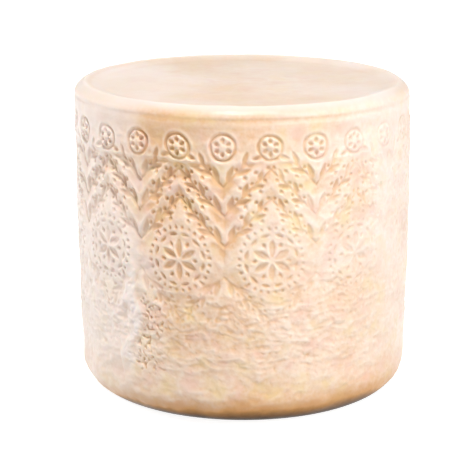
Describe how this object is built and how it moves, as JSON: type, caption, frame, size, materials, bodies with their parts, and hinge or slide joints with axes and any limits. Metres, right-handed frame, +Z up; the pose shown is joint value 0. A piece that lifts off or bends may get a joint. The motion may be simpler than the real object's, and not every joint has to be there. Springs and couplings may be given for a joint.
{
  "type": "wheel of pecorino romano",
  "caption": "Whole drum-shaped wheel of hard sheep's-milk cheese with a rounded foot, a rolled top edge and leafy ornament pressed into its side.",
  "frame": {"origin": "middle of the flat base the wheel stands on", "axes": "+Z up along the wheel's axis, -Y out of the side that faces the viewer, +X to the viewer's right"},
  "size_m": [0.3093, 0.3105, 0.286],
  "materials": {
    "rind": "natural cheese rind, pale cream, waxy satin"
  },
  "bodies": {
    "root": {"wheel": "rind"}
  },
  "joints": []
}
